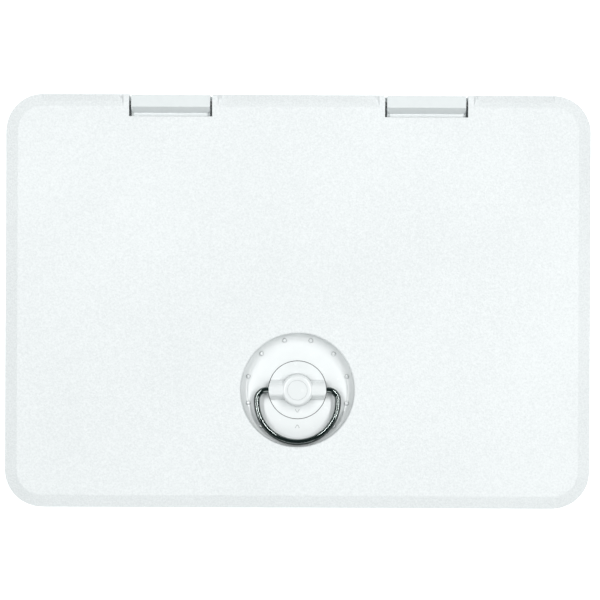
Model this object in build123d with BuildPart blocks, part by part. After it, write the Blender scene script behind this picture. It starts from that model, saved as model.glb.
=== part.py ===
from build123d import *
from math import cos, radians, sin
import os

# Deck hatch, 375 x 265 mm: a bevelled plastic lid hinged on a flanged frame, shut by a
# quarter-turn latch that is worked with a folding wire bail in a round dish.
# Origin: centre of the deck cut-out, on the deck surface (the underside of the flange).
# +X runs along the hinge line, +Y towards the hinges, +Z up.  All sizes in millimetres.

# ---- lid
LID_LENGTH = 375.0
LID_WIDTH = 265.0
LID_CORNER_R = 24.0
LID_TOP = 17.0
LID_WALL = 3.5
BEVEL_RUN = 8.0
BEVEL_DROP = 3.5
BEVEL_FOOT = LID_TOP - BEVEL_DROP
LID_UNDERSIDE = LID_TOP - LID_WALL
SKIRT_BOTTOM = 4.0
BACK_SKIRT_BOTTOM = 7.0

# ---- frame
FLANGE_LENGTH = 374.0
FLANGE_WIDTH = 264.0
FLANGE_CORNER_R = 23.5
FLANGE_THICKNESS = 3.0
COLLAR_LENGTH = 322.0
COLLAR_WIDTH = 212.0
COLLAR_CORNER_R = 20.0
COLLAR_WALL = 2.5
COLLAR_BOTTOM = -22.0
COAMING_TOP = 9.0

# ---- deck screws: 4 mm countersunk, in the gutter that the lid covers
SCREW_HOLE_R = 2.2
SCREW_HEAD_R = 4.2
SCREW_X = 174.0
SCREW_Y = 119.0

# ---- hinges
HINGE_X = 82.0
HINGE_Y = 126.8
HINGE_Z = 10.5
BLOCK_LENGTH = 50.5
NOTCH_LENGTH = 53.3
PIN_R = 2.0
PIN_FIT = 0.06
PIN_LENGTH = 63.6

# ---- latch
LATCH_Y = -57.0
DISH_R = 36.4
DISH_FLOOR = 8.0
KNOB_R = 18.5
PIVOT_Z = 12.0
WIRE_R = 2.0
SPINDLE_R = 5.5
RUNNING_FIT = 0.06
CAM_TOP = -10.9
CAM_THICKNESS = 4.0
CAM_REACH = 42.0
STRIKE_BOTTOM = -10.5


def finish(part, name):
    """Label a finished piece and write it to its own STEP file."""
    part.label = name
    export_step(part, f"parts/{name}.step")


def side_plane(x):
    """Plane facing +X at the given x, whose own axes are the object's Y and Z."""
    return Plane(origin=(x, 0, 0), x_dir=(0, 1, 0), z_dir=(1, 0, 0))


def rounded_ring(length, width, corner_r, wall):
    """Sketch a rounded rectangular ring, measured on its outer edge."""
    RectangleRounded(length, width, corner_r)
    RectangleRounded(length - 2 * wall, width - 2 * wall, corner_r - wall, mode=Mode.SUBTRACT)


# ================================================================ frame
# One moulding: the flange lies on the deck, the collar drops through the cut-out and
# rises above the flange as a coaming, so water in the gutter can't run inside.
LEDGE_LENGTH = 48.0
LEDGE_DEPTH = 10.5
LEDGE_TOP = -5.0
LEDGE_BOTTOM = -9.0
GUSSET_THICKNESS = 3.0
GUSSET_RISE = 8.0
GUSSET_X = 20.0
COLLAR_INNER_Y = COLLAR_WIDTH / 2 - COLLAR_WALL
STRIKE_SCREW_X = 13.0
STRIKE_SCREW_Y = -COLLAR_INNER_Y + 5.0
STRIKE_SCREW_R = 1.5
STRIKE_HOLE_DEPTH = 3.7
BLOCK_BACK = 131.9
BLOCK_TOP = 16.8
BLOCK_TOP_FRONT = 124.2
BLOCK_FRONT = 120.5
BLOCK_SHELF = 11.5
BLOCK_SHELF_FRONT = 116.4

with BuildPart() as frame:
    with BuildSketch(Plane.XY):
        RectangleRounded(FLANGE_LENGTH, FLANGE_WIDTH, FLANGE_CORNER_R)
    extrude(amount=FLANGE_THICKNESS)
    fillet(frame.edges().group_by(Axis.Z)[-1], radius=1.2)
    with BuildSketch(Plane.XY.offset(COLLAR_BOTTOM)):
        RectangleRounded(COLLAR_LENGTH, COLLAR_WIDTH, COLLAR_CORNER_R)
    extrude(amount=COAMING_TOP - COLLAR_BOTTOM)
    # the clear opening, with the coaming's rim and the collar's lower rim eased
    with BuildSketch(Plane.XY.offset(COLLAR_BOTTOM)):
        RectangleRounded(
            COLLAR_LENGTH - 2 * COLLAR_WALL, COLLAR_WIDTH - 2 * COLLAR_WALL,
            COLLAR_CORNER_R - COLLAR_WALL,
        )
    extrude(amount=COAMING_TOP - COLLAR_BOTTOM, mode=Mode.SUBTRACT)
    fillet(frame.edges().group_by(Axis.Z)[-1], radius=0.5)
    chamfer(frame.edges().group_by(Axis.Z)[0], length=0.7)
    # knuckle blocks: flat top level with the lid, steep front, shelf under the lid's notch
    for side in (-1, 1):
        with BuildSketch(side_plane(side * HINGE_X - BLOCK_LENGTH / 2)):
            with BuildLine():
                Polyline(
                    (BLOCK_BACK, 0.5), (BLOCK_BACK, BLOCK_TOP), (BLOCK_TOP_FRONT, BLOCK_TOP),
                    (BLOCK_FRONT, BLOCK_SHELF), (BLOCK_SHELF_FRONT, BLOCK_SHELF),
                    (BLOCK_SHELF_FRONT, 0.5), close=True,
                )
            make_face()
        extrude(amount=BLOCK_LENGTH)
    block_edges = frame.edges().filter_by(Axis.X).filter_by_position(
        Axis.Z, BLOCK_TOP - 0.01, BLOCK_TOP + 0.01
    )
    fillet(block_edges.filter_by_position(Axis.Y, BLOCK_BACK - 0.1, BLOCK_BACK + 0.1), radius=1.0)
    fillet(block_edges.filter_by_position(Axis.Y, BLOCK_TOP_FRONT - 0.1, BLOCK_TOP_FRONT + 0.1), radius=0.6)
    # bore for both hinge pins
    with Locations(Location((0, HINGE_Y, HINGE_Z), (0, 90, 0))):
        Cylinder(PIN_R + PIN_FIT, 2 * HINGE_X + BLOCK_LENGTH + 4, mode=Mode.SUBTRACT)
    # ledge for the strike plate, on the front wall of the collar, with its gussets
    with BuildSketch(Plane.XY.offset(LEDGE_BOTTOM)):
        with Locations((0, -COLLAR_INNER_Y + LEDGE_DEPTH / 2 - 0.5)):
            Rectangle(LEDGE_LENGTH, LEDGE_DEPTH + 1)
    extrude(amount=LEDGE_TOP - LEDGE_BOTTOM)
    for x in (-GUSSET_X, 0, GUSSET_X):
        with BuildSketch(side_plane(x - GUSSET_THICKNESS / 2)):
            with BuildLine():
                Polyline(
                    (-COLLAR_INNER_Y - 0.5, LEDGE_TOP - 0.5),
                    (-COLLAR_INNER_Y + LEDGE_DEPTH - 2, LEDGE_TOP - 0.5),
                    (-COLLAR_INNER_Y, LEDGE_TOP + GUSSET_RISE),
                    (-COLLAR_INNER_Y - 0.5, LEDGE_TOP + GUSSET_RISE), close=True,
                )
            make_face()
        extrude(amount=GUSSET_THICKNESS)
    with BuildSketch(Plane.XY.offset(LEDGE_BOTTOM)):
        with Locations((-STRIKE_SCREW_X, STRIKE_SCREW_Y), (STRIKE_SCREW_X, STRIKE_SCREW_Y)):
            Circle(STRIKE_SCREW_R)
    extrude(amount=STRIKE_HOLE_DEPTH, mode=Mode.SUBTRACT)
    # eight countersunk holes for the deck screws
    with Locations(Plane.XY.offset(FLANGE_THICKNESS)):
        with GridLocations(2 * SCREW_X, 2 * SCREW_Y, 2, 2):
            CounterSinkHole(SCREW_HOLE_R, SCREW_HEAD_R, counter_sink_angle=90)
        with Locations((0, -SCREW_Y), (0, SCREW_Y), (-SCREW_X, 0), (SCREW_X, 0)):
            CounterSinkHole(SCREW_HOLE_R, SCREW_HEAD_R, counter_sink_angle=90)
finish(frame.part, "frame")


# ================================================================ lid
# One moulding: a flat top with a bevelled border, a skirt that hides the frame, ribs
# beneath, and two pairs of lugs that carry the hinge pins either side of the blocks.
CAVITY_SHOULDER = 10.5
CAVITY_SLOPE_RUN = 7.1
BACK_FACET_RUN = 4.6
BACK_FACET_EXTRA = 1.4
BACK_FACET_LENGTH = 328.0
NOTCH_FRONT = 118.2
LIP_ROUND = 0.6
LUG_TOP_WIDTH = 3.5
LUG_FOOT_WIDTH = 6.0
LUG_WIDTH = 5.5
LUG_FRONT = 117.8
LUG_BACK = 131.6
LUG_R = 5.0
PIN_CHANNEL_R = 2.4
RIB_THICKNESS = 2.0
RIB_BOTTOM = 9.5
SEAL_WIDTH = 6.0
CHANNEL_WALL = 1.5
CHANNEL_BOTTOM = 11.0
SEAL_LENGTH = COLLAR_LENGTH - COLLAR_WALL + SEAL_WIDTH
SEAL_BREADTH = COLLAR_WIDTH - COLLAR_WALL + SEAL_WIDTH
SEAL_CORNER_R = COLLAR_CORNER_R - COLLAR_WALL / 2 + SEAL_WIDTH / 2
BOSS_R = 4.0
BOSS_BOTTOM = 10.0
EAR_DISTANCE = 44.5
DISH_SCREW_R = 1.45
DISH_HOLE_DEPTH = 5.3
DISH_SCREW_LENGTH = 6.8
RIB_PLACES_X = (-110, -55, 0, 55, 110)
RIB_PLACES_Y = (LATCH_Y, 0, 50)
LATCH_CLEARING_R = 49.5
DISH_EDGE_ROUND = 1.0

with BuildPart() as lid:
    with BuildSketch(Plane.XY.offset(SKIRT_BOTTOM)):
        RectangleRounded(LID_LENGTH, LID_WIDTH, LID_CORNER_R)
    extrude(amount=BEVEL_FOOT - SKIRT_BOTTOM)
    with BuildSketch(Plane.XY.offset(BEVEL_FOOT)):
        RectangleRounded(LID_LENGTH, LID_WIDTH, LID_CORNER_R)
    with BuildSketch(Plane.XY.offset(LID_TOP)):
        RectangleRounded(
            LID_LENGTH - 2 * BEVEL_RUN, LID_WIDTH - 2 * BEVEL_RUN, LID_CORNER_R - BEVEL_RUN
        )
    loft(ruled=True)
    # the border between the hinges falls away more steeply along the back edge
    with BuildSketch(side_plane(-BACK_FACET_LENGTH / 2)):
        with BuildLine():
            Polyline(
                (LID_WIDTH / 2 - BACK_FACET_RUN,
                 BEVEL_FOOT + BACK_FACET_RUN * BEVEL_DROP / BEVEL_RUN),
                (LID_WIDTH / 2 + 0.1, BEVEL_FOOT + 0.5),
                (LID_WIDTH / 2 + 0.1, BEVEL_FOOT - BACK_FACET_EXTRA), close=True,
            )
        make_face()
    extrude(amount=BACK_FACET_LENGTH, mode=Mode.SUBTRACT)
    crest = lid.edges().filter_by_position(Axis.Z, LID_TOP - 0.01, LID_TOP + 0.01)
    fillet(crest, radius=1.0)
    # hollow underside, its ceiling running parallel to the bevel near the skirt
    with BuildSketch(Plane.XY.offset(SKIRT_BOTTOM)):
        RectangleRounded(LID_LENGTH - 2 * LID_WALL, LID_WIDTH - 2 * LID_WALL, LID_CORNER_R - LID_WALL)
    extrude(amount=CAVITY_SHOULDER - SKIRT_BOTTOM, mode=Mode.SUBTRACT)
    ceiling_inset = LID_WALL + CAVITY_SLOPE_RUN
    with BuildSketch(Plane.XY.offset(CAVITY_SHOULDER)):
        RectangleRounded(LID_LENGTH - 2 * LID_WALL, LID_WIDTH - 2 * LID_WALL, LID_CORNER_R - LID_WALL)
    with BuildSketch(Plane.XY.offset(LID_UNDERSIDE)):
        RectangleRounded(
            LID_LENGTH - 2 * ceiling_inset, LID_WIDTH - 2 * ceiling_inset,
            LID_CORNER_R - ceiling_inset,
        )
    loft(ruled=True, mode=Mode.SUBTRACT)
    # the back skirt is shorter, to swing clear of the flange
    with BuildSketch(Plane.XY.offset(SKIRT_BOTTOM - 1)):
        with Locations((0, LID_WIDTH / 2)):
            Rectangle(LID_LENGTH, 17)
    extrude(amount=BACK_SKIRT_BOTTOM - SKIRT_BOTTOM + 1, mode=Mode.SUBTRACT)
    # stiffening ribs, stopping short of the latch and inside the seal channel
    rib_length = SEAL_LENGTH - 2 * SEAL_WIDTH - CHANNEL_WALL
    rib_breadth = SEAL_BREADTH - 2 * SEAL_WIDTH - CHANNEL_WALL
    with BuildSketch(Plane.XY.offset(RIB_BOTTOM)):
        with Locations(*[(x, 0) for x in RIB_PLACES_X]):
            Rectangle(RIB_THICKNESS, rib_breadth)
        with Locations(*[(0, y) for y in RIB_PLACES_Y]):
            Rectangle(rib_length, RIB_THICKNESS)
        with Locations((0, LATCH_Y)):
            Circle(LATCH_CLEARING_R, mode=Mode.SUBTRACT)
    extrude(amount=LID_UNDERSIDE - RIB_BOTTOM + 0.5)
    # two low walls that hold the seal
    for outer_wall in (0, 1):
        grow = 2 * CHANNEL_WALL * outer_wall - 2 * SEAL_WIDTH * (1 - outer_wall)
        with BuildSketch(Plane.XY.offset(CHANNEL_BOTTOM)):
            rounded_ring(
                SEAL_LENGTH + grow, SEAL_BREADTH + grow, SEAL_CORNER_R + grow / 2, CHANNEL_WALL
            )
        extrude(amount=LID_UNDERSIDE - CHANNEL_BOTTOM + 0.5)
    # lugs: a round boss about the pin, carried up level with the top of the lid
    for side in (-1, 1):
        for end in (-1, 1):
            inner_x = side * HINGE_X + end * (NOTCH_LENGTH / 2 - 0.5)
            lug_start = inner_x if end > 0 else inner_x - LUG_WIDTH - 0.5
            with BuildSketch(side_plane(lug_start)):
                with Locations((HINGE_Y, HINGE_Z)):
                    Circle(LUG_R)
                with Locations((HINGE_Y, (HINGE_Z + BEVEL_FOOT) / 2 + 0.5)):
                    Rectangle(2 * LUG_R, BEVEL_FOOT - HINGE_Z + 1)
            extrude(amount=LUG_WIDTH + 0.5)
            lug_front = Plane(origin=(0, LUG_FRONT, 0), x_dir=(1, 0, 0), z_dir=(0, -1, 0))
            with BuildSketch(lug_front):
                with BuildLine():
                    Polyline(
                        (inner_x, BEVEL_FOOT - 1),
                        (inner_x + end * (LUG_FOOT_WIDTH + 0.5), BEVEL_FOOT - 1),
                        (inner_x + end * (LUG_FOOT_WIDTH + 0.5), BEVEL_FOOT),
                        (inner_x + end * (LUG_TOP_WIDTH + 0.5), LID_TOP),
                        (inner_x, LID_TOP), close=True,
                    )
                make_face()
            extrude(amount=-(LUG_BACK - LUG_FRONT))
    # notches for the knuckle blocks, their front edge rounded
    for side in (-1, 1):
        with BuildSketch(side_plane(side * HINGE_X - NOTCH_LENGTH / 2)):
            with BuildLine():
                Line((LID_WIDTH / 2 + 5, 0), (LID_WIDTH / 2 + 5, LID_TOP + 1))
                Line((LID_WIDTH / 2 + 5, LID_TOP + 1), (NOTCH_FRONT - LIP_ROUND, LID_TOP + 1))
                Line((NOTCH_FRONT - LIP_ROUND, LID_TOP + 1), (NOTCH_FRONT - LIP_ROUND, LID_TOP))
                ThreePointArc(
                    (NOTCH_FRONT - LIP_ROUND, LID_TOP),
                    (NOTCH_FRONT - LIP_ROUND * (1 - cos(radians(45))),
                     LID_TOP - LIP_ROUND * (1 - sin(radians(45)))),
                    (NOTCH_FRONT, LID_TOP - LIP_ROUND),
                )
                Line((NOTCH_FRONT, LID_TOP - LIP_ROUND), (NOTCH_FRONT, 0))
                Line((NOTCH_FRONT, 0), (LID_WIDTH / 2 + 5, 0))
            make_face()
        extrude(amount=NOTCH_LENGTH, mode=Mode.SUBTRACT)
    # holes through the lugs, and a channel beneath the border that the pins slide in by
    with Locations(Location((0, HINGE_Y, HINGE_Z), (0, 90, 0))):
        Cylinder(PIN_R, 2 * (HINGE_X + PIN_LENGTH / 2), mode=Mode.SUBTRACT)
        Cylinder(PIN_CHANNEL_R, 2 * (HINGE_X - NOTCH_LENGTH / 2 - LUG_WIDTH), mode=Mode.SUBTRACT)
    # hole for the latch dish, and the four bosses its screws go into
    with BuildSketch(Plane.XY.offset(BOSS_BOTTOM)):
        with Locations((0, LATCH_Y)):
            with PolarLocations(EAR_DISTANCE, 4, start_angle=45):
                Circle(BOSS_R)
    extrude(amount=LID_UNDERSIDE - BOSS_BOTTOM + 0.5)
    with BuildSketch(Plane.XY.offset(BOSS_BOTTOM)):
        with Locations((0, LATCH_Y)):
            with PolarLocations(EAR_DISTANCE, 4, start_angle=45):
                Circle(DISH_SCREW_R)
    extrude(amount=DISH_HOLE_DEPTH, mode=Mode.SUBTRACT)
    with BuildSketch(Plane.XY.offset(BOSS_BOTTOM)):
        with Locations((0, LATCH_Y)):
            Circle(DISH_R)
    extrude(amount=LID_TOP - BOSS_BOTTOM + 1, mode=Mode.SUBTRACT)
    dish_edge = lid.edges().filter_by(GeomType.CIRCLE).filter_by_position(
        Axis.Z, LID_TOP - 0.01, LID_TOP + 0.01
    ).sort_by(SortBy.LENGTH)[-1]
    fillet(dish_edge, radius=DISH_EDGE_ROUND)
finish(lid.part, "lid")


# ================================================================ lid seal
# A moulded rubber ring in the lid's channel; its lower face closes on the coaming.
with BuildPart() as lid_seal:
    with BuildSketch(Plane.XY.offset(COAMING_TOP)):
        rounded_ring(SEAL_LENGTH, SEAL_BREADTH, SEAL_CORNER_R, SEAL_WIDTH)
    extrude(amount=LID_UNDERSIDE - COAMING_TOP)
    fillet(lid_seal.edges().group_by(Axis.Z)[0], radius=1.4)
finish(lid_seal.part, "lid_seal")


# ================================================================ hinge pins
# Plain stainless pins: a press fit in the lid's lugs, free in the frame's blocks.
def make_hinge_pin(x, name):
    """Build one hinge pin centred at the given x, with eased ends."""
    with BuildPart() as pin:
        with Locations(Location((x, HINGE_Y, HINGE_Z), (0, 90, 0))):
            Cylinder(PIN_R, PIN_LENGTH)
        chamfer(pin.edges().filter_by(GeomType.CIRCLE), length=0.3)
    finish(pin.part, name)


make_hinge_pin(-HINGE_X, "hinge_pin_left")
make_hinge_pin(HINGE_X, "hinge_pin_right")


# ================================================================ screws
def make_csk_screws(places, z, head_r, shank_r, length, name):
    """Build countersunk screws that point up, their heads flush with height z."""
    with BuildPart() as screws:
        with Locations(Plane.XY.offset(z)):
            with Locations(*places):
                Cone(
                    head_r, shank_r, head_r - shank_r,
                    align=(Align.CENTER, Align.CENTER, Align.MIN),
                )
                Cylinder(shank_r, length, align=(Align.CENTER, Align.CENTER, Align.MIN))
        with BuildSketch(Plane.XY.offset(z)):
            with Locations(*places):
                Rectangle(2.6, 0.6)
                Rectangle(0.6, 2.6)
        extrude(amount=1.1, mode=Mode.SUBTRACT)
    finish(screws.part, name)


def make_pan_screws(places, z, head_r, head_height, shank_r, length, name):
    """Build pan-head screws that point up, the seats of their heads at height z."""
    with BuildPart() as screws:
        with Locations(Plane.XY.offset(z)):
            with Locations(*places):
                Cylinder(
                    head_r, head_height, align=(Align.CENTER, Align.CENTER, Align.MAX)
                )
        fillet(screws.edges().filter_by(GeomType.CIRCLE).group_by(Axis.Z)[0], radius=0.7)
        with Locations(Plane.XY.offset(z)):
            with Locations(*places):
                Cylinder(shank_r, length, align=(Align.CENTER, Align.CENTER, Align.MIN))
        chamfer(screws.edges().filter_by(GeomType.CIRCLE).group_by(Axis.Z)[-1], length=0.5)
        with BuildSketch(Plane.XY.offset(z - head_height)):
            with Locations(*places):
                Rectangle(head_r * 1.1, head_r * 0.26)
                Rectangle(head_r * 0.26, head_r * 1.1)
        extrude(amount=head_height * 0.6, mode=Mode.SUBTRACT)
    finish(screws.part, name)


# ================================================================ strike
# A stainless plate under the frame's ledge, for the cam to bear up against.
STRIKE_LENGTH = 40.0
STRIKE_WIDTH = 9.5
STRIKE_THICKNESS = LEDGE_BOTTOM - STRIKE_BOTTOM
STRIKE_HEAD_R = 3.0
STRIKE_SCREW_LENGTH = 5.0
strike_screw_places = [(-STRIKE_SCREW_X, STRIKE_SCREW_Y), (STRIKE_SCREW_X, STRIKE_SCREW_Y)]

with BuildPart() as strike_plate:
    with BuildSketch(Plane.XY.offset(STRIKE_BOTTOM)):
        with Locations((0, -COLLAR_INNER_Y + STRIKE_WIDTH / 2 + 0.2)):
            RectangleRounded(STRIKE_LENGTH, STRIKE_WIDTH, 1.5)
    extrude(amount=STRIKE_THICKNESS)
    with Locations(Plane.XY.offset(STRIKE_BOTTOM)):
        with Locations(*strike_screw_places):
            Cone(
                STRIKE_HEAD_R, STRIKE_SCREW_R, STRIKE_HEAD_R - STRIKE_SCREW_R,
                align=(Align.CENTER, Align.CENTER, Align.MIN), mode=Mode.SUBTRACT,
            )
            Cylinder(
                STRIKE_SCREW_R, STRIKE_THICKNESS,
                align=(Align.CENTER, Align.CENTER, Align.MIN), mode=Mode.SUBTRACT,
            )
finish(strike_plate.part, "strike_plate")
make_csk_screws(
    strike_screw_places, STRIKE_BOTTOM, STRIKE_HEAD_R, STRIKE_SCREW_R, STRIKE_SCREW_LENGTH,
    "strike_screws",
)


# ================================================================ latch dish
# A turned-looking moulded cup held up against the lid by four screws.  Its floor has a
# shallow pocket for the knob, and a tube below that the spindle turns in.
DISH_RIM = 12.9
DISH_FLOOR_R = DISH_R - (DISH_RIM - DISH_FLOOR)
DISH_FLANGE_R = 40.0
DISH_FLANGE_BOTTOM = 11.0
DISH_OUTER_R = 38.7
DISH_UNDERSIDE = 6.0
POCKET_R = 18.8
POCKET_FLOOR = 5.2
POCKET_BOSS_R = 21.0
POCKET_BOSS_BOTTOM = 3.0
TUBE_R = 9.5
TUBE_BOTTOM = -8.0
BORE_R = SPINDLE_R + RUNNING_FIT
EAR_R = 4.5
EAR_BOTTOM = 8.3
DISH_SCREW_HEAD_R = 2.9
DISH_SCREW_HEAD = 1.9
PIP_DISTANCE = 32.8
PIP_R = 1.2
PIP_COUNT = 12
DISH_MARK = 23.5
KNOB_MARK = 13.5
ear_places = [
    (EAR_DISTANCE * cos(radians(a)), LATCH_Y + EAR_DISTANCE * sin(radians(a)))
    for a in (45, 135, 225, 315)
]


def chevron(distance, pointing):
    """Sketch a small V at a distance in front of the latch centre, pointing +1 back or -1 forward."""
    for lean in (-1, 1):
        with Locations(Location((lean * 0.75, LATCH_Y - distance), (0, 0, -lean * pointing * 60))):
            Rectangle(2.2, 0.5)


with BuildPart() as latch_dish:
    with BuildSketch(Plane.XZ.offset(-LATCH_Y)):
        with BuildLine():
            Polyline(
                (DISH_R, DISH_RIM), (DISH_FLANGE_R, DISH_RIM), (DISH_FLANGE_R, DISH_FLANGE_BOTTOM),
                (DISH_OUTER_R, DISH_FLANGE_BOTTOM), (DISH_OUTER_R, DISH_UNDERSIDE + 4),
                (DISH_OUTER_R - 4, DISH_UNDERSIDE), (POCKET_BOSS_R, DISH_UNDERSIDE),
                (POCKET_BOSS_R, POCKET_BOSS_BOTTOM), (TUBE_R, POCKET_BOSS_BOTTOM),
                (TUBE_R, TUBE_BOTTOM), (BORE_R, TUBE_BOTTOM), (BORE_R, POCKET_FLOOR),
                (POCKET_R, POCKET_FLOOR), (POCKET_R, DISH_FLOOR), (DISH_FLOOR_R, DISH_FLOOR),
            )
            CenterArc((DISH_FLOOR_R, DISH_RIM), DISH_RIM - DISH_FLOOR, -90, 90)
        make_face()
    revolve(axis=Axis((0, LATCH_Y, 0), (0, 0, 1)), revolution_arc=360)
    # four ears for the screws
    with BuildSketch(Plane.XY.offset(EAR_BOTTOM)):
        with Locations((0, LATCH_Y)):
            with PolarLocations(EAR_DISTANCE, 4, start_angle=45):
                Circle(EAR_R)
            with PolarLocations((EAR_DISTANCE + DISH_R) / 2, 4, start_angle=45):
                Rectangle(EAR_DISTANCE - DISH_R, 2 * EAR_R)
            with PolarLocations(EAR_DISTANCE, 4, start_angle=45):
                Circle(DISH_SCREW_R + 0.25, mode=Mode.SUBTRACT)
    extrude(amount=BOSS_BOTTOM - EAR_BOTTOM)
    # round pips about the foot of the wall
    with Locations((0, LATCH_Y, DISH_FLOOR + PIP_R / 2)):
        with PolarLocations(PIP_DISTANCE, PIP_COUNT, start_angle=15):
            Sphere(PIP_R)
    # alignment mark, facing the one on the knob
    with BuildSketch(Plane.XY.offset(DISH_FLOOR - 0.25)):
        chevron(DISH_MARK, 1)
    extrude(amount=0.3, mode=Mode.SUBTRACT)
finish(latch_dish.part, "latch_dish")

with BuildPart() as dish_gasket:
    with BuildSketch(Plane.XY.offset(DISH_RIM)):
        with Locations((0, LATCH_Y)):
            Circle(DISH_FLANGE_R - 0.1)
            Circle(DISH_R + 0.3, mode=Mode.SUBTRACT)
    extrude(amount=LID_UNDERSIDE - DISH_RIM)
finish(dish_gasket.part, "dish_gasket")
make_pan_screws(
    ear_places, EAR_BOTTOM, DISH_SCREW_HEAD_R, DISH_SCREW_HEAD, DISH_SCREW_R, DISH_SCREW_LENGTH, "dish_screws"
)


# ================================================================ knob
# A disc that sits nearly flush in the dish floor, with a barrel across it that the bail
# pivots in and a round boss in the middle that hides the screw.
KNOB_BOTTOM = POCKET_FLOOR + 0.6
KNOB_FACE = 8.3
BARREL_TOP = 15.4
BARREL_TOP_HALF = 3.6
BARREL_FOOT_HALF = 6.4
BARREL_ROUND = 4.2
KNOB_BOSS_R = 10.2
KNOB_BOSS_TOP = 15.9
KNOB_BOSS_ROUND = 2.4
CAP_R = 6.4
CAP_SEAT = 14.7
CAP_GAP = 0.1
KNOB_SCREW_SEAT = 11.5
KNOB_SCREW_HEAD_R = 4.0
KNOB_SCREW_R = 2.0
KNOB_SCREW_HEAD = 2.6
KNOB_SCREW_LENGTH = 9.5
KNOB_WASHER_R = 14.0
SPINDLE_TOP = 9.5
SPINDLE_FLATS = 8.4
BAIL_END = 11.8


def flatted_circle():
    """Sketch the spindle's section where it has two flats."""
    with Locations((0, LATCH_Y)):
        Circle(SPINDLE_R)
        Rectangle(2 * SPINDLE_R, SPINDLE_FLATS, mode=Mode.INTERSECT)


with BuildPart() as latch_knob:
    with BuildSketch(side_plane(-KNOB_R - 1)):
        with BuildLine():
            Polyline(
                (LATCH_Y - BARREL_FOOT_HALF, KNOB_FACE - 0.5),
                (LATCH_Y - BARREL_TOP_HALF, BARREL_TOP),
                (LATCH_Y + BARREL_TOP_HALF, BARREL_TOP),
                (LATCH_Y + BARREL_FOOT_HALF, KNOB_FACE - 0.5), close=True,
            )
        make_face()
    extrude(amount=2 * KNOB_R + 2)
    fillet(latch_knob.edges().filter_by(Axis.X).group_by(Axis.Z)[-1], radius=BARREL_ROUND)
    with BuildSketch(Plane.XY.offset(KNOB_FACE - 1)):
        with Locations((0, LATCH_Y)):
            Circle(KNOB_R)
    extrude(amount=BARREL_TOP, mode=Mode.INTERSECT)
    fillet(latch_knob.edges().group_by(Axis.Z)[-1].filter_by(Axis.X, reverse=True), radius=0.4)
    # the boss: nearly upright at its foot, then rounded over to a flat top
    with BuildSketch(Plane.XZ.offset(-LATCH_Y)):
        with BuildLine():
            Polyline(
                (KNOB_BOSS_R - KNOB_BOSS_ROUND, KNOB_BOSS_TOP), (0, KNOB_BOSS_TOP),
                (0, KNOB_FACE - 0.5), (KNOB_BOSS_R, KNOB_FACE - 0.5),
                (KNOB_BOSS_R, KNOB_BOSS_TOP - KNOB_BOSS_ROUND),
            )
            CenterArc(
                (KNOB_BOSS_R - KNOB_BOSS_ROUND, KNOB_BOSS_TOP - KNOB_BOSS_ROUND),
                KNOB_BOSS_ROUND, 0, 90,
            )
        make_face()
    revolve(axis=Axis((0, LATCH_Y, 0), (0, 0, 1)), revolution_arc=360)
    with BuildSketch(Plane.XY.offset(KNOB_BOTTOM)):
        with Locations((0, LATCH_Y)):
            Circle(KNOB_R)
    extrude(amount=KNOB_FACE - KNOB_BOTTOM)
    # seat for the cap, well for the screw head, clearance for its shank
    for top, bottom, r in (
        (KNOB_BOSS_TOP, CAP_SEAT, CAP_R),
        (CAP_SEAT, KNOB_SCREW_SEAT, KNOB_SCREW_HEAD_R + 0.6),
        (KNOB_SCREW_SEAT, KNOB_BOTTOM, KNOB_SCREW_R + 0.2),
    ):
        with BuildSketch(Plane.XY.offset(bottom)):
            with Locations((0, LATCH_Y)):
                Circle(r)
        extrude(amount=top - bottom, mode=Mode.SUBTRACT)
    with BuildSketch(Plane.XY.offset(KNOB_BOTTOM)):
        flatted_circle()
    extrude(amount=SPINDLE_TOP - KNOB_BOTTOM, mode=Mode.SUBTRACT)
    # blind bores in the barrel's ends for the bail
    for end in (-1, 1):
        with Locations(Location((end * (KNOB_R + BAIL_END) / 2, LATCH_Y, PIVOT_Z), (0, 90, 0))):
            Cylinder(WIRE_R + RUNNING_FIT, KNOB_R - BAIL_END + 1, mode=Mode.SUBTRACT)
    with BuildSketch(Plane.XY.offset(KNOB_FACE - 0.25)):
        chevron(KNOB_MARK, -1)
    extrude(amount=0.3, mode=Mode.SUBTRACT)
finish(latch_knob.part, "latch_knob")

with BuildPart() as knob_cap:
    with BuildSketch(Plane.XY.offset(CAP_SEAT)):
        with Locations((0, LATCH_Y)):
            Circle(CAP_R - CAP_GAP)
    extrude(amount=KNOB_BOSS_TOP - CAP_SEAT)
    fillet(knob_cap.edges().group_by(Axis.Z)[-1], radius=0.15)
finish(knob_cap.part, "knob_cap")

with BuildPart() as knob_screw:
    with BuildSketch(Plane.XY.offset(KNOB_SCREW_SEAT)):
        with Locations((0, LATCH_Y)):
            Circle(KNOB_SCREW_HEAD_R)
    extrude(amount=KNOB_SCREW_HEAD)
    fillet(knob_screw.edges().group_by(Axis.Z)[-1], radius=0.8)
    with BuildSketch(Plane.XY.offset(KNOB_SCREW_SEAT)):
        with Locations((0, LATCH_Y)):
            Circle(KNOB_SCREW_R)
    extrude(amount=-KNOB_SCREW_LENGTH)
    with BuildSketch(Plane.XY.offset(KNOB_SCREW_SEAT + 1.0)):
        with Locations((0, LATCH_Y)):
            Rectangle(4.4, 1.0)
            Rectangle(1.0, 4.4)
    extrude(amount=2, mode=Mode.SUBTRACT)
finish(knob_screw.part, "knob_screw")

with BuildPart() as knob_washer:
    with BuildSketch(Plane.XY.offset(POCKET_FLOOR)):
        with Locations((0, LATCH_Y)):
            Circle(KNOB_WASHER_R)
            Circle(SPINDLE_R + 0.3, mode=Mode.SUBTRACT)
    extrude(amount=KNOB_BOTTOM - POCKET_FLOOR)
finish(knob_washer.part, "knob_washer")


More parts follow.
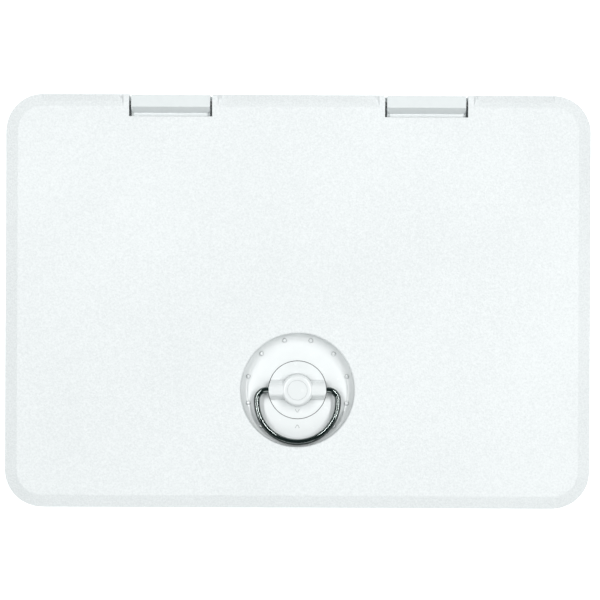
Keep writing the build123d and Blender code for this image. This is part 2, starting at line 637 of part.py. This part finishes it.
# ================================================================ bail
# One length of stainless wire bent into a D, its ends turned in to pivot in the barrel.
BAIL_HALF_WIDTH = 26.1
BAIL_BEND_R = 6.5
BAIL_ROUND_CENTRE = 7.4

with BuildPart() as bail:
    with BuildLine(Plane.XY.offset(PIVOT_Z)):
        left_end = Line((-BAIL_END, LATCH_Y), (-BAIL_HALF_WIDTH + BAIL_BEND_R, LATCH_Y))
        left_bend = JernArc(left_end @ 1, (-1, 0), BAIL_BEND_R, 90)
        left_leg = Line(left_bend @ 1, (-BAIL_HALF_WIDTH, LATCH_Y - BAIL_ROUND_CENTRE))
        bow = JernArc(left_leg @ 1, (0, -1), BAIL_HALF_WIDTH, 180)
        right_leg = Line(bow @ 1, (BAIL_HALF_WIDTH, LATCH_Y - BAIL_BEND_R))
        right_bend = JernArc(right_leg @ 1, (0, 1), BAIL_BEND_R, 90)
        Line(right_bend @ 1, (BAIL_END, LATCH_Y))
    with BuildSketch(Plane(origin=(-BAIL_END, LATCH_Y, PIVOT_Z), z_dir=(-1, 0, 0))):
        Circle(WIRE_R)
    sweep()
finish(bail.part, "bail")


# ================================================================ spindle and cam
# The spindle joins knob and cam through the dish; a circlip keeps it up, an O-ring keeps
# water out, and the cam is drawn on to its lower flats by a screw and washer.
CAM_BOTTOM = CAM_TOP - CAM_THICKNESS
CIRCLIP_TOP = TUBE_BOTTOM - 0.2
CIRCLIP_THICKNESS = 1.0
CIRCLIP_GROOVE_R = 4.7
CIRCLIP_R = 8.2
O_RING_WIRE_R = 1.0
O_RING_R = SPINDLE_R - O_RING_WIRE_R
CAM_SCREW_R = 2.5
CAM_SCREW_DEPTH = 9.4
CAM_WASHER_R = 8.0
CAM_WASHER_THICKNESS = 1.2
CAM_HUB_R = 9.5
CAM_TIP_R = 6.0
CAM_SCREW_HEAD_R = 4.62
CAM_SCREW_HEAD = 3.4

with BuildPart() as spindle:
    with BuildSketch(Plane.XY.offset(CAM_BOTTOM)):
        with Locations((0, LATCH_Y)):
            Circle(SPINDLE_R)
    extrude(amount=SPINDLE_TOP - CAM_BOTTOM)
    # two flats at each end, for the cam and for the knob
    for bottom, top in ((CAM_BOTTOM, CAM_TOP), (KNOB_BOTTOM, SPINDLE_TOP)):
        with BuildSketch(Plane.XY.offset(bottom)):
            with Locations((0, LATCH_Y)):
                Rectangle(2 * SPINDLE_R + 2, 2 * SPINDLE_R + 2)
                Rectangle(2 * SPINDLE_R + 2, SPINDLE_FLATS, mode=Mode.SUBTRACT)
        extrude(amount=top - bottom, mode=Mode.SUBTRACT)
    for bottom, height, groove_r in (
        (CIRCLIP_TOP - CIRCLIP_THICKNESS, CIRCLIP_THICKNESS, CIRCLIP_GROOVE_R),
        (-O_RING_WIRE_R, 2 * O_RING_WIRE_R, SPINDLE_R - 2 * O_RING_WIRE_R),
    ):
        with BuildSketch(Plane.XY.offset(bottom)):
            with Locations((0, LATCH_Y)):
                Circle(SPINDLE_R + 1)
                Circle(groove_r, mode=Mode.SUBTRACT)
        extrude(amount=height, mode=Mode.SUBTRACT)
    with BuildSketch(Plane.XY.offset(SPINDLE_TOP)):
        with Locations((0, LATCH_Y)):
            Circle(KNOB_SCREW_R)
    extrude(amount=-8, mode=Mode.SUBTRACT)
    with BuildSketch(Plane.XY.offset(CAM_BOTTOM)):
        with Locations((0, LATCH_Y)):
            Circle(CAM_SCREW_R)
    extrude(amount=CAM_SCREW_DEPTH, mode=Mode.SUBTRACT)
finish(spindle.part, "spindle")

with BuildPart() as spindle_o_ring:
    with Locations((0, LATCH_Y, 0)):
        Torus(O_RING_R, O_RING_WIRE_R)
finish(spindle_o_ring.part, "spindle_o_ring")

with BuildPart() as spindle_circlip:
    with BuildSketch(Plane.XY.offset(CIRCLIP_TOP - CIRCLIP_THICKNESS)):
        with Locations((0, LATCH_Y)):
            Circle(CIRCLIP_R)
            Circle(CIRCLIP_GROOVE_R, mode=Mode.SUBTRACT)
        with Locations((0, LATCH_Y + CIRCLIP_R)):
            Rectangle(6.0, 2 * CIRCLIP_R - 4, mode=Mode.SUBTRACT)
    extrude(amount=CIRCLIP_THICKNESS)
finish(spindle_circlip.part, "spindle_circlip")

with BuildPart() as cam:
    with BuildSketch(Plane.XY.offset(CAM_BOTTOM)):
        with Locations((0, LATCH_Y)):
            Circle(CAM_HUB_R)
        with Locations((CAM_REACH - CAM_TIP_R, LATCH_Y)):
            Circle(CAM_TIP_R)
        make_hull()
    extrude(amount=CAM_THICKNESS)
    chamfer(cam.edges().group_by(Axis.Z)[-1], length=0.8)
    with BuildSketch(Plane.XY.offset(CAM_BOTTOM)):
        flatted_circle()
    extrude(amount=CAM_THICKNESS, mode=Mode.SUBTRACT)
finish(cam.part, "cam")

with BuildPart() as cam_washer:
    with BuildSketch(Plane.XY.offset(CAM_BOTTOM)):
        with Locations((0, LATCH_Y)):
            Circle(CAM_WASHER_R)
            Circle(CAM_SCREW_R + 0.2, mode=Mode.SUBTRACT)
    extrude(amount=-CAM_WASHER_THICKNESS)
finish(cam_washer.part, "cam_washer")

with BuildPart() as cam_screw:
    with BuildSketch(Plane.XY.offset(CAM_BOTTOM - CAM_WASHER_THICKNESS)):
        with Locations((0, LATCH_Y)):
            RegularPolygon(CAM_SCREW_HEAD_R, 6)
    extrude(amount=-CAM_SCREW_HEAD)
    with BuildSketch(Plane.XY.offset(CAM_BOTTOM - CAM_WASHER_THICKNESS)):
        with Locations((0, LATCH_Y)):
            Circle(CAM_SCREW_R)
    extrude(amount=CAM_SCREW_DEPTH)
finish(cam_screw.part, "cam_screw")
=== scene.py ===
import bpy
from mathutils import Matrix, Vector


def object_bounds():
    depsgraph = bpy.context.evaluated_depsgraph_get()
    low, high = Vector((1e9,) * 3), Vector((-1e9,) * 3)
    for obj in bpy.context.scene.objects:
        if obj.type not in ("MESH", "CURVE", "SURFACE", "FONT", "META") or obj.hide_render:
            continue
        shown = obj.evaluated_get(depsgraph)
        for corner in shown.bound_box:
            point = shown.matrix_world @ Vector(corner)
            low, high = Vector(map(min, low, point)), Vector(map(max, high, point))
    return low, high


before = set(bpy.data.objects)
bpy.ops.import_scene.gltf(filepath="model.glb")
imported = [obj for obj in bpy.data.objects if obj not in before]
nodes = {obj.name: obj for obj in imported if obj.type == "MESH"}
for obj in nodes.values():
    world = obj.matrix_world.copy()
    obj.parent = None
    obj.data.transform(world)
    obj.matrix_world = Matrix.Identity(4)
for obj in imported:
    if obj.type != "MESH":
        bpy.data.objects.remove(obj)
cad_box = [list(corner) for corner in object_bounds()]

import math

import bpy
from mathutils import Matrix, Vector

scene = bpy.context.scene


# ---------------------------------------------------------------- lid
# The lid is one injection moulding in white UV-stable plastic.  Its mould is
# spark-eroded, which leaves a fine even grain on the top and the bevelled border.
def new_material(name):
    """Start a material with one Principled shader; return the material, its tree and the shader."""
    material = bpy.data.materials.new(name)
    material.use_nodes = True
    tree = material.node_tree
    return material, tree, tree.nodes["Principled BSDF"]


def finish_node(node_name, material):
    """Give a carried-over CAD node its finished material."""
    for slot in nodes[node_name].material_slots:
        slot.material = material


def node_of(tree, kind, settings=None, inputs=None):
    """Add a shader node with its settings and the values of its inputs."""
    made = tree.nodes.new(kind)
    for name, value in (settings or {}).items():
        setattr(made, name, value)
    for name, value in (inputs or {}).items():
        made.inputs[name].default_value = value
    return made


def build_moulded_grain():
    """Group: the height and the slight tone of a spark-eroded mould surface."""
    group = bpy.data.node_groups.new("moulded_grain", "ShaderNodeTree")
    group.interface.new_socket("Vector", in_out="INPUT", socket_type="NodeSocketVector")
    size = group.interface.new_socket("Grain Size", in_out="INPUT", socket_type="NodeSocketFloat")
    size.default_value = 0.001
    group.interface.new_socket("Height", in_out="OUTPUT", socket_type="NodeSocketFloat")
    group.interface.new_socket("Tone", in_out="OUTPUT", socket_type="NodeSocketFloat")
    enter = group.nodes.new("NodeGroupInput")
    leave = group.nodes.new("NodeGroupOutput")
    pitch = node_of(group, "ShaderNodeMath", {"operation": "DIVIDE"}, {0: 1.0})
    pits = node_of(group, "ShaderNodeTexNoise", None, {"Detail": 2.0, "Roughness": 0.62})
    crackle = node_of(group, "ShaderNodeTexVoronoi", {"feature": "SMOOTH_F1"}, {"Smoothness": 0.6})
    both = node_of(group, "ShaderNodeMath", {"operation": "ADD"})
    group.links.new(enter.outputs["Grain Size"], pitch.inputs[1])
    for texture in (pits, crackle):
        group.links.new(enter.outputs["Vector"], texture.inputs["Vector"])
        group.links.new(pitch.outputs[0], texture.inputs["Scale"])
    group.links.new(pits.outputs["Fac"], both.inputs[0])
    group.links.new(crackle.outputs["Distance"], both.inputs[1])
    group.links.new(both.outputs[0], leave.inputs["Height"])
    group.links.new(pits.outputs["Fac"], leave.inputs["Tone"])
    return group


moulded_grain = build_moulded_grain()


def white_plastic(name, colour, dark_colour, roughness, grain_size, grain_depth, coat=0.0):
    """White moulded plastic whose grain shows in its relief, its gloss and faintly in its tone."""
    material, tree, shader = new_material(name)
    place = tree.nodes.new("ShaderNodeTexCoord")
    grain = tree.nodes.new("ShaderNodeGroup")
    grain.node_tree = moulded_grain
    grain.inputs["Grain Size"].default_value = grain_size
    tree.links.new(place.outputs["Object"], grain.inputs["Vector"])
    cloud = node_of(tree, "ShaderNodeTexNoise", None, {"Scale": 9.0, "Detail": 3.0})
    tree.links.new(place.outputs["Object"], cloud.inputs["Vector"])
    shade = node_of(tree, "ShaderNodeMath", {"operation": "MULTIPLY_ADD"}, {1: 0.75, 2: 0.0})
    tree.links.new(grain.outputs["Tone"], shade.inputs[0])
    cloud_part = node_of(tree, "ShaderNodeMath", {"operation": "MULTIPLY_ADD"}, {1: 0.25, 2: 0.0})
    tree.links.new(cloud.outputs["Fac"], cloud_part.inputs[0])
    tree.links.new(cloud_part.outputs[0], shade.inputs[2])
    tone = tree.nodes.new("ShaderNodeValToRGB")
    tone.color_ramp.elements[0].position = 0.35
    tone.color_ramp.elements[0].color = (*dark_colour, 1)
    tone.color_ramp.elements[1].position = 0.65
    tone.color_ramp.elements[1].color = (*colour, 1)
    tree.links.new(shade.outputs[0], tone.inputs["Fac"])
    tree.links.new(tone.outputs["Color"], shader.inputs["Base Color"])
    gloss = node_of(tree, "ShaderNodeMapRange", None, {
        "From Min": 0.3, "From Max": 0.7, "To Min": roughness - 0.04, "To Max": roughness + 0.04,
    })
    tree.links.new(shade.outputs[0], gloss.inputs["Value"])
    tree.links.new(gloss.outputs["Result"], shader.inputs["Roughness"])
    relief = node_of(tree, "ShaderNodeBump", None, {"Strength": 1.0, "Distance": grain_depth})
    tree.links.new(grain.outputs["Height"], relief.inputs["Height"])
    tree.links.new(relief.outputs["Normal"], shader.inputs["Normal"])
    shader.inputs["IOR"].default_value = 1.5
    shader.inputs["Coat Weight"].default_value = coat
    shader.inputs["Coat Roughness"].default_value = 0.12
    return material


LID_WHITE = (0.872, 0.893, 0.90)
LID_WHITE_LOW = (0.762, 0.783, 0.791)
lid_plastic = white_plastic(
    "lid_grained_white", LID_WHITE, LID_WHITE_LOW, roughness=0.5, grain_size=0.0011, grain_depth=0.00011
)
finish_node("lid", lid_plastic)


# ---------------------------------------------------------------- frame
# The frame is a second moulding of the same plastic from a polished mould, so its
# flange, collar and hinge blocks are smooth, with only a faint waviness.
frame_plastic = white_plastic(
    "frame_smooth_white", (0.80, 0.83, 0.835), (0.78, 0.81, 0.815), roughness=0.32,
    grain_size=0.004, grain_depth=0.00002,
)
finish_node("frame", frame_plastic)


# ---------------------------------------------------------------- latch mouldings
# The dish, the knob and its cap are glossier mouldings with no grain at all.  Shade is
# painted into their tight corners and into the thin ring joint round the knob.
def paint_joint_shade(material, radius, half_width, joint_shade_colour):
    """Paint shade onto a plastic along a thin ring about the latch's axis, where the joint round the knob
    lies in shade.
    """
    tree = material.node_tree
    shader = tree.nodes["Principled BSDF"]
    unshaded = shader.inputs["Base Color"].links[0].from_socket
    place = tree.nodes.new("ShaderNodeTexCoord")
    flatten = node_of(tree, "ShaderNodeMapping", None, {
        "Location": (0.0, -LATCH_Y, 0.0), "Scale": (1.0, 1.0, 0.0),
    })
    tree.links.new(place.outputs["Object"], flatten.inputs["Vector"])
    distance = node_of(tree, "ShaderNodeVectorMath", {"operation": "LENGTH"})
    tree.links.new(flatten.outputs["Vector"], distance.inputs[0])
    offset = node_of(tree, "ShaderNodeMath", {"operation": "COMPARE"}, {1: radius, 2: half_width})
    tree.links.new(distance.outputs["Value"], offset.inputs[0])
    blend = node_of(tree, "ShaderNodeMix", {"data_type": "RGBA"})
    blend.inputs["B"].default_value = (*joint_shade_colour, 1)
    tree.links.new(offset.outputs[0], blend.inputs["Factor"])
    tree.links.new(unshaded, blend.inputs["A"])
    tree.links.new(blend.outputs["Result"], shader.inputs["Base Color"])


def shade_creases(material, reach, crease_shade_colour):
    """Paint shade into the tight inner corners of a plastic, darker where ambient occlusion finds them
    closed in.
    """
    tree = material.node_tree
    shader = tree.nodes["Principled BSDF"]
    unshaded = shader.inputs["Base Color"].links[0].from_socket
    openness = node_of(
        tree, "ShaderNodeAmbientOcclusion", {"samples": 8, "only_local": True}, {"Distance": reach},
    )
    amount = node_of(tree, "ShaderNodeMapRange", None, {
        "From Min": 0.35, "From Max": 0.9, "To Min": 0.75, "To Max": 0.0,
    })
    tree.links.new(openness.outputs["AO"], amount.inputs["Value"])
    blend = node_of(tree, "ShaderNodeMix", {"data_type": "RGBA"})
    blend.inputs["B"].default_value = (*crease_shade_colour, 1)
    tree.links.new(amount.outputs["Result"], blend.inputs["Factor"])
    tree.links.new(unshaded, blend.inputs["A"])
    tree.links.new(blend.outputs["Result"], shader.inputs["Base Color"])


LATCH_Y = -0.057
KNOB_JOINT_R = 0.01865
KNOB_JOINT_HALF_WIDTH = 0.0002
CORNER_REACH = 0.0012
latch_plastic = white_plastic(
    "latch_gloss_white", (0.86, 0.88, 0.885), (0.845, 0.865, 0.87), roughness=0.24,
    grain_size=0.006, grain_depth=0.00001, coat=0.15,
)
# Painted shade: the tight inner corners are darkened where ambient occlusion finds them closed in.
shade_creases(latch_plastic, CORNER_REACH, (0.2, 0.22, 0.215))
# Painted shade: a thin dark ring is painted where the narrow joint round the knob lies in shade.
paint_joint_shade(latch_plastic, KNOB_JOINT_R, KNOB_JOINT_HALF_WIDTH, (0.12, 0.13, 0.13))
for node_name in ("latch_dish", "latch_knob", "knob_cap"):
    finish_node(node_name, latch_plastic)


# ---------------------------------------------------------------- bail
# The bail is one length of stainless wire, bent to a D and polished, so it has no marks
# that can be felt, only slight changes of gloss.
def steel(name, colour, roughness, streak_axis, streak_depth):
    """Stainless steel, hazy in its gloss, with fine marks that may run along one axis."""
    material, tree, shader = new_material(name)
    place = tree.nodes.new("ShaderNodeTexCoord")
    stretch = tree.nodes.new("ShaderNodeMapping")
    scale = [1.0, 1.0, 1.0]
    if streak_axis is not None:
        scale[streak_axis] = 0.05
    stretch.inputs["Scale"].default_value = scale
    tree.links.new(place.outputs["Object"], stretch.inputs["Vector"])
    marks = node_of(tree, "ShaderNodeTexNoise", None, {"Scale": 2500.0, "Detail": 3.0})
    tree.links.new(stretch.outputs["Vector"], marks.inputs["Vector"])
    haze = node_of(tree, "ShaderNodeTexNoise", None, {"Scale": 160.0, "Detail": 2.0})
    tree.links.new(place.outputs["Object"], haze.inputs["Vector"])
    gloss = node_of(tree, "ShaderNodeMapRange", None, {
        "From Min": 0.3, "From Max": 0.7, "To Min": roughness * 0.75, "To Max": roughness * 1.35,
    })
    tree.links.new(haze.outputs["Fac"], gloss.inputs["Value"])
    tree.links.new(gloss.outputs["Result"], shader.inputs["Roughness"])
    relief = node_of(tree, "ShaderNodeBump", None, {"Strength": 0.5, "Distance": streak_depth})
    tree.links.new(marks.outputs["Fac"], relief.inputs["Height"])
    tree.links.new(relief.outputs["Normal"], shader.inputs["Normal"])
    shader.inputs["Base Color"].default_value = (*colour, 1)
    shader.inputs["Metallic"].default_value = 1.0
    return material


polished_steel = steel("bail_polished_steel", (0.19, 0.21, 0.205), 0.09, None, 0.0)
finish_node("bail", polished_steel)


# ---------------------------------------------------------------- pins and spindle
# The hinge pins are cut from drawn stainless bar, with marks along its length.  The
# spindle is turned from brighter bar.
drawn_steel = steel("pin_drawn_steel", (0.36, 0.36, 0.355), 0.42, 0, 0.000004)
for node_name in ("hinge_pin_left", "hinge_pin_right"):
    finish_node(node_name, drawn_steel)
turned_steel = steel("spindle_turned_steel", (0.58, 0.58, 0.57), 0.22, 2, 0.000004)
finish_node("spindle", turned_steel)


# ---------------------------------------------------------------- fasteners
# Screws, the cam's washer, the circlip and the strike plate are plain stainless.  They
# are tumbled clean, which leaves an even satin.
tumbled_steel = steel("fastener_tumbled_steel", (0.55, 0.55, 0.54), 0.3, None, 0.00001)
for node_name in (
    "strike_plate", "strike_screws", "dish_screws", "knob_screw",
    "spindle_circlip", "cam_washer", "cam_screw",
):
    finish_node(node_name, tumbled_steel)


# ---------------------------------------------------------------- seals
# The lid seal, the dish gasket and the spindle's O-ring are moulded in black rubber,
# matt, with a faint bloom.
def rubber(name):
    """Black rubber, matt, with the pale bloom that moulded rubber gets."""
    material, tree, shader = new_material(name)
    place = tree.nodes.new("ShaderNodeTexCoord")
    bloom = node_of(tree, "ShaderNodeTexNoise", None, {"Scale": 60.0, "Detail": 5.0})
    tree.links.new(place.outputs["Object"], bloom.inputs["Vector"])
    tone = tree.nodes.new("ShaderNodeValToRGB")
    tone.color_ramp.elements[0].color = (0.012, 0.012, 0.013, 1)
    tone.color_ramp.elements[1].color = (0.045, 0.045, 0.047, 1)
    tree.links.new(bloom.outputs["Fac"], tone.inputs["Fac"])
    tree.links.new(tone.outputs["Color"], shader.inputs["Base Color"])
    pores = node_of(tree, "ShaderNodeTexNoise", None, {"Scale": 1800.0, "Detail": 2.0})
    tree.links.new(place.outputs["Object"], pores.inputs["Vector"])
    relief = node_of(tree, "ShaderNodeBump", None, {"Strength": 0.5, "Distance": 0.00004})
    tree.links.new(pores.outputs["Fac"], relief.inputs["Height"])
    tree.links.new(relief.outputs["Normal"], shader.inputs["Normal"])
    shader.inputs["Roughness"].default_value = 0.68
    shader.inputs["Specular IOR Level"].default_value = 0.35
    return material


seal_rubber = rubber("seal_black_rubber")
for node_name in ("lid_seal", "dish_gasket", "spindle_o_ring"):
    finish_node(node_name, seal_rubber)


# ---------------------------------------------------------------- cam and washer
# The cam is black glass-filled plastic.  The knob's thrust washer is natural acetal,
# a creamy white.
def dull_plastic(name, low, high, roughness, scale):
    """Unpainted engineering plastic with a mottled tone and a fine relief."""
    material, tree, shader = new_material(name)
    place = tree.nodes.new("ShaderNodeTexCoord")
    mottle = node_of(tree, "ShaderNodeTexNoise", None, {"Scale": scale, "Detail": 4.0})
    tree.links.new(place.outputs["Object"], mottle.inputs["Vector"])
    tone = tree.nodes.new("ShaderNodeValToRGB")
    tone.color_ramp.elements[0].position = 0.3
    tone.color_ramp.elements[0].color = (*low, 1)
    tone.color_ramp.elements[1].position = 0.7
    tone.color_ramp.elements[1].color = (*high, 1)
    tree.links.new(mottle.outputs["Fac"], tone.inputs["Fac"])
    tree.links.new(tone.outputs["Color"], shader.inputs["Base Color"])
    relief = node_of(tree, "ShaderNodeBump", None, {"Strength": 0.6, "Distance": 0.00003})
    tree.links.new(mottle.outputs["Fac"], relief.inputs["Height"])
    tree.links.new(relief.outputs["Normal"], shader.inputs["Normal"])
    shader.inputs["Roughness"].default_value = roughness
    return material


finish_node("cam", dull_plastic("cam_black_plastic", (0.012, 0.012, 0.013), (0.03, 0.03, 0.032), 0.5, 900.0))
finish_node("knob_washer", dull_plastic("washer_acetal", (0.7, 0.68, 0.62), (0.78, 0.77, 0.72), 0.4, 500.0))


# ---------------------------------------------------------------- floor and light
# A pale seamless studio table under the hatch.  A long strip lamp stands at each side,
# nearer the hinges, with a dim fill in front; the rest of the room is dark, so that the
# polished wire reads dark with thin bright lines.
low, high = (Vector(corner) for corner in cad_box)
centre = (low + high) / 2
FLOOR_SIZE = 6.0
FLOOR_DROP = 0.0005
bpy.ops.mesh.primitive_grid_add(x_subdivisions=8, y_subdivisions=8, size=FLOOR_SIZE)
floor = bpy.context.object
floor.name = "studio_floor"
floor.data.transform(Matrix.Translation((centre.x, centre.y, low.z - FLOOR_DROP)))
floor_paper, _, floor_shader = new_material("floor_paper")
floor_shader.inputs["Base Color"].default_value = (0.9, 0.91, 0.91, 1)
floor_shader.inputs["Roughness"].default_value = 0.9
floor_shader.inputs["Specular IOR Level"].default_value = 0.1
floor_shader.inputs["Emission Color"].default_value = (1, 1, 1, 1)
floor_shader.inputs["Emission Strength"].default_value = 0.45
floor.data.materials.append(floor_paper)


def lamp(name, place, aim, length, width, power):
    """Hang one oblong soft lamp with its long side level, and aim it."""
    light = bpy.data.lights.new(name, "AREA")
    light.shape = "RECTANGLE"
    light.size = length
    light.size_y = width
    light.energy = power
    holder = bpy.data.objects.new(name, light)
    scene.collection.objects.link(holder)
    holder.location = place
    holder.rotation_euler = (Vector(aim) - Vector(place)).to_track_quat("-Z", "Y").to_euler()


STRIP_ASIDE = 1.0
STRIP_BACK = 0.42
STRIP_HEIGHT = 1.75
STRIP_LENGTH = 2.0
STRIP_WIDTH = 0.14
for name, side, power in (("right_strip", 1, 28.0), ("left_strip", -1, 24.5)):
    place = (side * STRIP_ASIDE, STRIP_BACK, STRIP_HEIGHT)
    lamp(name, place, (0, STRIP_BACK, 0), STRIP_LENGTH, STRIP_WIDTH, power)
lamp("front_fill", (0.0, -1.0, 0.8), (0, -0.05, 0), 0.7, 0.5, 2.6)

world = bpy.data.worlds.new("studio")
scene.world = world
world.use_nodes = True
world.node_tree.nodes["Background"].inputs["Color"].default_value = (0.55, 0.95, 0.92, 1)
world.node_tree.nodes["Background"].inputs["Strength"].default_value = 0.07
scene.view_settings.view_transform = "Standard"


# ---------------------------------------------------------------- camera
# The camera hangs straight above the closed lid, a touch off its middle and a touch
# askew, with a long lens.
CAMERA_DISTANCE = 1.7
CAMERA_ROLL = math.radians(0.25)
FIELD_WIDTH = 0.3841
CAMERA_X = 0.0014
CAMERA_Y = 0.0008
SENSOR_WIDTH = 36.0
camera_data = bpy.data.cameras.new("camera")
camera_data.sensor_width = SENSOR_WIDTH
camera_data.lens = SENSOR_WIDTH * CAMERA_DISTANCE / FIELD_WIDTH
camera = bpy.data.objects.new("camera", camera_data)
scene.collection.objects.link(camera)
camera.location = (CAMERA_X, CAMERA_Y, high.z + CAMERA_DISTANCE)
camera.rotation_euler = (0, 0, CAMERA_ROLL)
scene.camera = camera
